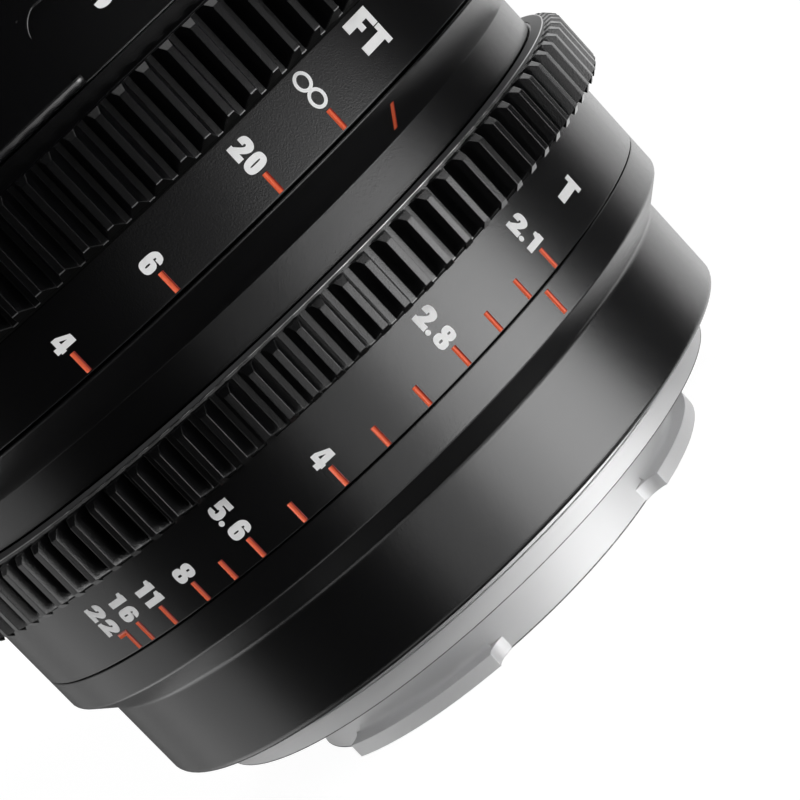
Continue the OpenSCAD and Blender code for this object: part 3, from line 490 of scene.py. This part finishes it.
def finish(name, colour, metallic=0.0, roughness=0.4, grain=None, edge=0.0, **sockets):
    """A plain surface; grain gives the size in mm and the strength of a fine blasted texture, and edge
    the radius in mm to which sharp edges are worn."""
    grain_detail, grain_depth, wear_samples = 2.0, 0.05, 6
    made = bpy.data.materials.new(name)
    made.use_nodes = True
    nodes, links = made.node_tree.nodes, made.node_tree.links
    shader = nodes["Principled BSDF"]
    shader.inputs["Base Color"].default_value = (*colour, 1.0)
    shader.inputs["Metallic"].default_value = metallic
    shader.inputs["Roughness"].default_value = roughness
    for socket, value in sockets.items():
        shader.inputs[socket.replace("_", " ")].default_value = value
    if edge:
        worn = nodes.new("ShaderNodeBevel")
        worn.samples = wear_samples
        worn.inputs["Radius"].default_value = edge * MM
        links.new(worn.outputs["Normal"], shader.inputs["Normal"])
    if grain:
        size, strength = grain
        place = nodes.new("ShaderNodeTexCoord")
        noise = nodes.new("ShaderNodeTexNoise")
        bump = nodes.new("ShaderNodeBump")
        noise.inputs["Scale"].default_value = 1 / (size * MM)
        noise.inputs["Detail"].default_value = grain_detail
        bump.inputs["Strength"].default_value = strength
        bump.inputs["Distance"].default_value = grain_depth * MM
        links.new(place.outputs["Object"], noise.inputs["Vector"])
        links.new(noise.outputs["Fac"], bump.inputs["Height"])
        if edge:
            links.new(worn.outputs["Normal"], bump.inputs["Normal"])
        links.new(bump.outputs["Normal"], shader.inputs["Normal"])
    return made


def hollow(paint, depth, wall_shade):
    """Shades a painted groove as a round-bottomed one: its height is the square of the place across, and
    the colour is darkened along one wall as painted shade of that wall."""
    wall_start, wall_end = 0.66, 0.86
    nodes, links = paint.node_tree.nodes, paint.node_tree.links
    shader = nodes["Principled BSDF"]
    place = nodes.new("ShaderNodeAttribute")
    place.attribute_name = "across"
    square = nodes.new("ShaderNodeMath")
    square.operation = "MULTIPLY"
    bump = nodes.new("ShaderNodeBump")
    bump.inputs["Distance"].default_value = depth * MM
    links.new(place.outputs["Fac"], square.inputs[0])
    links.new(place.outputs["Fac"], square.inputs[1])
    links.new(square.outputs["Value"], bump.inputs["Height"])
    links.new(bump.outputs["Normal"], shader.inputs["Normal"])
    spread = nodes.new("ShaderNodeMapRange")
    spread.inputs["From Min"].default_value = -1.0
    shades = nodes.new("ShaderNodeValToRGB")
    stops = shades.color_ramp.elements
    stops[0].position, stops[1].position = wall_start, wall_end
    stops[0].color, stops[1].color = shader.inputs["Base Color"].default_value, (*wall_shade, 1.0)
    links.new(place.outputs["Fac"], spread.inputs["Value"])
    links.new(spread.outputs["Result"], shades.inputs["Fac"])
    links.new(shades.outputs["Color"], shader.inputs["Base Color"])


ANODISED = (0.0018, 0.0018, 0.002)
BARREL_ANODISED = (0.0016, 0.0016, 0.0018)
# A mid grey for painted shade lines on the silver mount and for painted glints on the focus gear's teeth
SHADE_AND_GLINT_GREY = (0.16, 0.16, 0.162)

satin_black = finish("satin_black", ANODISED, roughness=0.27, grain=(0.13, 0.28), edge=0.1)
blasted_black = finish("blasted_black", ANODISED, roughness=0.28, grain=(0.13, 0.24), edge=0.12,
                       Specular_IOR_Level=0.28)
barrel_black = finish("barrel_black", BARREL_ANODISED, roughness=0.24, grain=(0.25, 0.1), edge=0.15,
                      Specular_IOR_Level=0.24)
panel_black = finish("panel_black", BARREL_ANODISED, roughness=0.24, Specular_IOR_Level=0.24)
grained_black = finish("grained_black", ANODISED, roughness=0.27, grain=(0.125, 0.38), edge=0.1,
                       Specular_IOR_Level=0.36)
edge_black = finish("edge_black", (0.002, 0.002, 0.0022), roughness=0.36, Specular_IOR_Level=1.0)
# Painted shade: a deep matte black laid where shade falls, at the gears' feet and on the focus teeth's rear
# slopes
shade_black = finish("shade_black", (0.0008, 0.0008, 0.0008), roughness=0.6, Specular_IOR_Level=0.06)
# Painted reflection: a grey sheen laid over the iris ring's black lip slope
lip_sheen_grey = finish("lip_sheen_grey", (0.06, 0.06, 0.061), roughness=0.5)
# Painted glints: a lighter grey metal on the focus gear's black tooth and space ends
glint_grey = finish("glint_grey", SHADE_AND_GLINT_GREY, metallic=0.6, roughness=0.4)
# Painted glints: a grey metal on the iris teeth's black rear chamfers, brighter than the ring's own finish
glint_metal = finish("glint_metal", (0.1, 0.1, 0.1), metallic=1.0, roughness=0.22)
# Painted shade: grey lines along the silver mount's rear edges
shade_line_grey = finish("shade_line_grey", SHADE_AND_GLINT_GREY, roughness=0.5)
# Painted highlight: a bright metal bead on the iris ring's black lip edge
painted_highlight = finish("painted_highlight", (0.42, 0.42, 0.42), metallic=1.0, roughness=0.3)
dull_black = finish("dull_black", (0.008, 0.008, 0.008), roughness=0.6)
flocked_black = finish("flocked_black", (0.004, 0.004, 0.004), roughness=0.85)
blade_black = finish("blade_black", (0.02, 0.02, 0.021), metallic=0.4, roughness=0.5)
mount_chrome = finish("mount_chrome", (0.7, 0.7, 0.705), metallic=0.38, roughness=0.6, grain=(0.2, 0.05),
                      edge=0.12)
screw_steel = finish("screw_steel", (0.42, 0.42, 0.43), metallic=1.0, roughness=0.3)
shim_steel = finish("shim_steel", (0.48, 0.48, 0.485), metallic=0.6, roughness=0.55)
cam_brass = finish("cam_brass", (0.72, 0.52, 0.22), metallic=1.0, roughness=0.3)
coated_glass = finish("coated_glass", (1.0, 1.0, 1.0), roughness=0.0, Transmission_Weight=1.0, IOR=1.6,
                      Thin_Film_Thickness=430.0, Thin_Film_IOR=1.38)
scale_white = finish("scale_white", (0.9, 0.9, 0.9), roughness=0.5)
scale_orange = finish("scale_orange", (0.80, 0.125, 0.05), roughness=0.36, Specular_IOR_Level=0.35)
# The dark red along one wall of each groove is painted shade, not a second paint
hollow(scale_orange, 0.12, (0.3, 0.02, 0.012))

FINISHES = {
    satin_black: ("rear_housing", "iris_ring"),
    blasted_black: ("focus_ring",),
    barrel_black: ("front_barrel",),
    grained_black: ("index_collar",),
    dull_black: ("guide_barrel", "lens_carriage", "front_cell", "rear_cell", "front_retaining_ring",
                 "second_retaining_ring", "front_spacer", "rear_spacer", "rear_retaining_ring",
                 "iris_base_plate", "iris_retaining_ring"),
    flocked_black: ("front_baffle", "rear_baffle"),
    blade_black: tuple(f"iris_blade_{k}" for k in range(1, 11)),
    mount_chrome: ("bayonet_mount",),
    screw_steel: ("mount_screws", "iris_drive_pin", "cam_followers"),
    shim_steel: ("mount_shim",),
    cam_brass: ("focus_cam_sleeve", "iris_cam_ring", "iris_drive_fork"),
    coated_glass: ("front_element", "second_element", "third_element", "fourth_element", "fifth_element",
                   "rear_element"),
}
for surface, nodes in FINISHES.items():
    for node in nodes:
        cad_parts[node].data.materials.clear()
        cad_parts[node].data.materials.append(surface)


# Scales

stop_numbers = [part for text, angle in STOPS if text for part in number(text, SCALE_R, angle, STOP_END)]
stop_numbers += number(LAST_STOP, SCALE_R, LAST_STOP_ANGLE, LAST_STOP_END)
stop_numbers += number("T", SCALE_R, STOP_SIGN_ANGLE, STOP_SIGN_END, SIGN_HEIGHT)
piece("stop_numbers", *joined(stop_numbers), scale_white, "iris_ring", smooth=False)

stop_ticks = [tick(SCALE_R, angle, **STOP_TICK) for _, angle in STOPS]
stop_ticks.append(tick(SCALE_R, LAST_TICK_ANGLE, **STOP_TICK, arm=LAST_TICK_ARM))
grooves("stop_ticks", stop_ticks, "iris_ring")

distance_numbers = [part for text, angle in FEET for part in number(text, FOCUS_R, angle, FEET_END)]
distance_numbers += loop_sign(FOCUS_R, INFINITY_ANGLE, FEET_END)
distance_numbers += number("FT", FOCUS_R, FEET_SIGN_ANGLE, FEET_SIGN_END, SIGN_HEIGHT)
piece("distance_numbers", *joined(distance_numbers), scale_white, "focus_ring", smooth=False)

distance_angles = [INFINITY_ANGLE] + [angle for _, angle in FEET]
distance_ticks = [tick(FOCUS_R, angle, **FEET_TICK) for angle in distance_angles]
grooves("distance_ticks", distance_ticks, "focus_ring")

grooves("index_lines", [tick(SCALE_R, INDEX_ANGLE, **INDEX_TICK), cone_line(CONE_ANGLE)], "housing")

panel_number = number_round(PANEL_NUMBER, PANEL_R, PANEL_NUMBER_START, PANEL_NUMBER_Z, PANEL_NUMBER_HEIGHT)
piece("panel_number", *joined(panel_number), scale_white, "housing", smooth=False)


# Trim: profiles are points of radius and height

rear_round = [(EDGE_R + EDGE_ROUND * math.cos(a), EDGE_Z + EDGE_ROUND * math.sin(a))
              for a in np.radians(np.linspace(0, -90, 11))]
rear_round += [(39.15, 55.12), (39.93, 55.9)]
lip_slope = [(37.8, 30.6), (37.9, 30.6), (37.9, 30.86), (36.72, 31.09), (36.72, 31.0)]
iris_foot = [(36.68, 24.42), (36.712, 24.42), (36.712, 24.53), (37.4, 24.69), (37.4, 24.74), (36.68, 24.6)]
focus_foot = [(39.98, 44.86), (40.012, 44.86), (40.012, 44.96), (40.61, 45.2), (40.61, 45.26), (39.98, 45.03)]
iris_end = [(38.75, 24.71), (39.2, 25.16), (38.9, 25.3), (38.5, 25.1)]
iris_end_widths = [1.0, 0.64, 0.7, 0.85]
focus_end = [(40.6, 45.21), (42.36, 45.905), (42.34, 45.97), (40.6, 45.28)]
focus_end_widths = [1.86, 0.66, 0.66, 1.86]

trim = (
    ("barrel_edge", turned(rear_round, PANEL_END, PANEL_START + 360 + EDGE_PAST_PANEL),
     edge_black, "housing"),
    ("panel_edge", turned(bead(39.07, 55.1, 0.08), PANEL_START, PANEL_END, 120), edge_black, "housing"),
    # Painted highlight along the iris ring's lip edge
    ("iris_lip_highlight", turned(bead(37.87, 30.85, 0.06)), painted_highlight, "iris_ring"),
    # Painted reflection: grey sheen on the lip's slope down to the collar
    ("iris_lip_sheen", turned(lip_slope), lip_sheen_grey, "iris_ring"),
    # Painted shade: dark sheets over the slopes at the feet of both gears
    ("iris_foot_shade", turned(iris_foot), shade_black, "iris_ring"),
    ("focus_foot_shade", turned(focus_foot), shade_black, "focus_ring"),
    # Painted shade: thin grey lines along the flange's and the skirt's rear edges
    ("flange_shade_line", turned(bead(29.87, 0.04, 0.05)), shade_line_grey, "housing"),
    ("skirt_shade_line", turned(bead(22.33, -5.5, 0.06)), shade_line_grey, "housing"),
    ("panel_arcs", joined([panel_arc(-1), panel_arc(1)]), edge_black, "housing"),
    # Painted glints on the iris teeth's rear chamfers
    ("iris_tooth_end_glints", tooth_plates(IRIS_TEETH, iris_end, iris_end_widths), glint_metal, "iris_ring"),
    # Painted shade: dark plates on the focus teeth's rear slopes
    ("focus_tooth_end_shade", tooth_plates(FOCUS_TEETH, focus_end, focus_end_widths), shade_black, "focus_ring"),
    # The iris gear's bars are shiny black that catches glints; the focus gear's bars are painted glints in a
    # lighter grey
    ("iris_glint_bars", glint_bars(IRIS_TEETH, 37.4, 24.72, 0.58, between=True), edge_black, "iris_ring"),
    ("focus_glint_bars", joined([glint_bars(FOCUS_TEETH, 42.4, 45.95, 0.62),
                                glint_bars(FOCUS_TEETH, 40.6, 45.24, 0.56, between=True)]),
     glint_grey, "focus_ring"),
)
mount_trim = ("flange_shade_line", "skirt_shade_line")
round_trim = ("barrel_edge", "panel_edge", "panel_arcs", "iris_lip_highlight", *mount_trim)
for trim_name, trim_mesh, trim_finish, trim_body in trim:
    trim_piece = piece(trim_name, *trim_mesh, trim_finish, trim_body, smooth=trim_name in round_trim)


# Panel, thread and screws

corner_mesh = joined([panel_corner(-1), panel_corner(1)])
corners = piece("panel_corners", *corner_mesh, panel_black, "housing", smooth=False)

thread = piece("filter_thread", *filter_thread(), barrel_black, "housing")

screw_mesh = joined([crossed_screw(angle) for angle in SCREW_ANGLES])
screws = piece("crossed_mount_screws", *screw_mesh, screw_steel, "housing")
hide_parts("mount_screws")


# Studio

CARD_R, CARD_STEPS = 190.0, 24
KEY_HEIGHTS, BACK_HEIGHTS = (-95, 18), (-260, 300)
FLOOR_HALF, FLOOR_GAP = 4.0, 0.02 * MM
LAMP_TARGET = (0, 0, 0.04)


def bare_paint(name):
    """A new material without nodes, for the studio: the material, its nodes and its links."""
    made = bpy.data.materials.new(name)
    made.use_nodes = True
    made.node_tree.nodes.clear()
    return made, made.node_tree.nodes, made.node_tree.links


def glow(name, strength):
    """An even light of one strength, for the cards that the surfaces mirror."""
    made, nodes, links = bare_paint(name)
    light = nodes.new("ShaderNodeEmission")
    light.inputs["Strength"].default_value = strength
    links.new(light.outputs["Emission"], nodes.new("ShaderNodeOutputMaterial").inputs["Surface"])
    made.cycles.emission_sampling = "NONE"
    return made


def hang(name, points, strength):
    """Hangs a light card of a grid of points, which only reflections show."""
    made = piece(name, points, grid_faces(CARD_STEPS, 2), glow(name, strength), None)
    made.visible_camera = False
    made.visible_diffuse = False
    made.visible_shadow = False


def card(name, start, end, heights, strength, lean=0.0):
    """A bent light card round the lens: a piece of a cylinder between two angles and two heights. Its end
    moves by the lean, in degrees, from the low to the high side."""
    low, high = heights
    place = np.linspace(0, 1, CARD_STEPS)[:, None]
    up = np.array([0, 1])
    turn = np.radians(start + (end - start + lean * up) * place)
    hang(name, around(CARD_R, turn, low + (high - low) * up), strength)


def ceiling(name, start, end, inner, outer, height, strength):
    """A flat light card over the lens: a piece of a disc between two angles and two radii."""
    turn = np.radians(np.linspace(start, end, CARD_STEPS))[:, None]
    hang(name, around(np.array([inner, outer]), turn, height), strength)


card("key_start_card", 16, 32, KEY_HEIGHTS, 5.6)
card("key_card", 32, 55, KEY_HEIGHTS, 7.9)
card("key_end_card", 55, 74, KEY_HEIGHTS, 6.2, lean=-13)
card("key_edge_card", -10, 16, KEY_HEIGHTS, 1.4)
card("low_card", -60, 75, (-330, -120), 1.2)
card("left_card", -120, -74, (-60, 60), 1.05)
card("left_low_card", -125, -70, (-170, -60), 2.0)
card("left_rear_card", -142, -122, BACK_HEIGHTS, 0.45)
card("back_left_card", -176, -142, BACK_HEIGHTS, 0.14)
card("back_right_card", 110, 150, BACK_HEIGHTS, 1.55)
card("back_card", 150, 178, BACK_HEIGHTS, 0.95)
ceiling("top_card", 30, 120, 20, 260, 330, 3.0)

# The floor glows white to the camera, keeps the shadow, and lights the lens as plain paint
floor_paint, paint_nodes, paint_links = bare_paint("floor_paint")
path = paint_nodes.new("ShaderNodeLightPath")
bounce = paint_nodes.new("ShaderNodeBsdfDiffuse")
bounce.inputs["Color"].default_value = (0.8, 0.8, 0.8, 1)
seen = paint_nodes.new("ShaderNodeBsdfDiffuse")
seen.inputs["Color"].default_value = (0.16, 0.16, 0.16, 1)
white = paint_nodes.new("ShaderNodeEmission")
white.inputs["Strength"].default_value = 0.94
both = paint_nodes.new("ShaderNodeAddShader")
pick = paint_nodes.new("ShaderNodeMixShader")
paint_links.new(seen.outputs["BSDF"], both.inputs[0])
paint_links.new(white.outputs["Emission"], both.inputs[1])
paint_links.new(path.outputs["Is Camera Ray"], pick.inputs[0])
paint_links.new(bounce.outputs["BSDF"], pick.inputs[1])
paint_links.new(both.outputs["Shader"], pick.inputs[2])
paint_links.new(pick.outputs["Shader"], paint_nodes.new("ShaderNodeOutputMaterial").inputs["Surface"])

floor_corners = FLOOR_HALF * np.array([[-1, -1, 0], [1, -1, 0], [1, 1, 0], [-1, 1, 0]])
floor_points = floor_corners + [0, 0, cad_box[0][2] - FLOOR_GAP]
floor = piece("floor", floor_points, [[0, 1, 2, 3]], floor_paint, None)
floor.visible_glossy = False

# The world is white to the camera and through the glass, and a dim room to everything else
world = bpy.data.worlds.new("studio")
bpy.context.scene.world = world
world.use_nodes = True
world_nodes, world_links = world.node_tree.nodes, world.node_tree.links
world_nodes.clear()
world_path = world_nodes.new("ShaderNodeLightPath")
room = world_nodes.new("ShaderNodeBackground")
room.inputs["Color"].default_value = (0.03, 0.03, 0.03, 1)
backdrop = world_nodes.new("ShaderNodeBackground")
backdrop.inputs["Color"].default_value = (1, 1, 1, 1)
choose = world_nodes.new("ShaderNodeMixShader")
either = world_nodes.new("ShaderNodeMath")
either.operation = "MAXIMUM"
world_links.new(world_path.outputs["Is Camera Ray"], either.inputs[0])
world_links.new(world_path.outputs["Is Transmission Ray"], either.inputs[1])
world_links.new(either.outputs["Value"], choose.inputs[0])
world_links.new(room.outputs["Background"], choose.inputs[1])
world_links.new(backdrop.outputs["Background"], choose.inputs[2])
world_links.new(choose.outputs["Shader"], world_nodes.new("ShaderNodeOutputWorld").inputs["Surface"])


def placed(name, data, right, up, back, place):
    """A lamp or camera with its own axes along three directions, at a place in metres."""
    made = bpy.data.objects.new(name, data)
    bpy.context.scene.collection.objects.link(made)
    made.matrix_world = Matrix([[right[i], up[i], back[i], place[i]] for i in range(3)] + [[0, 0, 0, 1]])
    return made


def lamp(name, azimuth, elevation, distance, size, power):
    """A square soft lamp that looks at the middle of the lens, for the paint and the floor."""
    data = bpy.data.lights.new(name, "AREA")
    data.size = size
    data.energy = power
    a, e = math.radians(azimuth), math.radians(elevation)
    back = np.array([math.sin(a) * math.cos(e), -math.cos(a) * math.cos(e), math.sin(e)])
    right = np.cross([0, 0, 1], back)
    right /= np.linalg.norm(right)
    made = placed(name, data, right, np.cross(back, right), back, back * distance + LAMP_TARGET)
    made.visible_camera = False
    made.visible_glossy = False


lamp("key_lamp", 38, 30, 0.7, 0.5, 2.9)
lamp("fill_lamp", -50, 35, 0.8, 0.6, 2.0)
lamp("back_lamp", 180, 50, 0.9, 0.6, 2.0)


# Camera

CAMERA_RIGHT, CAMERA_UP = (0.7289, -0.1219, -0.6737), (0.6847, 0.1298, 0.7172)
CAMERA_BACK = (0.0, -0.9841, 0.1781)
CAMERA_PLACE = (4.55 * MM, -257.3 * MM, 59.72 * MM)

camera_data = bpy.data.cameras.new("camera")
camera_data.sensor_width = 36.0
camera_data.lens = 126.0
camera_data.clip_start = 0.01
camera = placed("camera", camera_data, CAMERA_RIGHT, CAMERA_UP, CAMERA_BACK, CAMERA_PLACE)
bpy.context.scene.camera = camera
bpy.context.scene.view_settings.view_transform = "Standard"
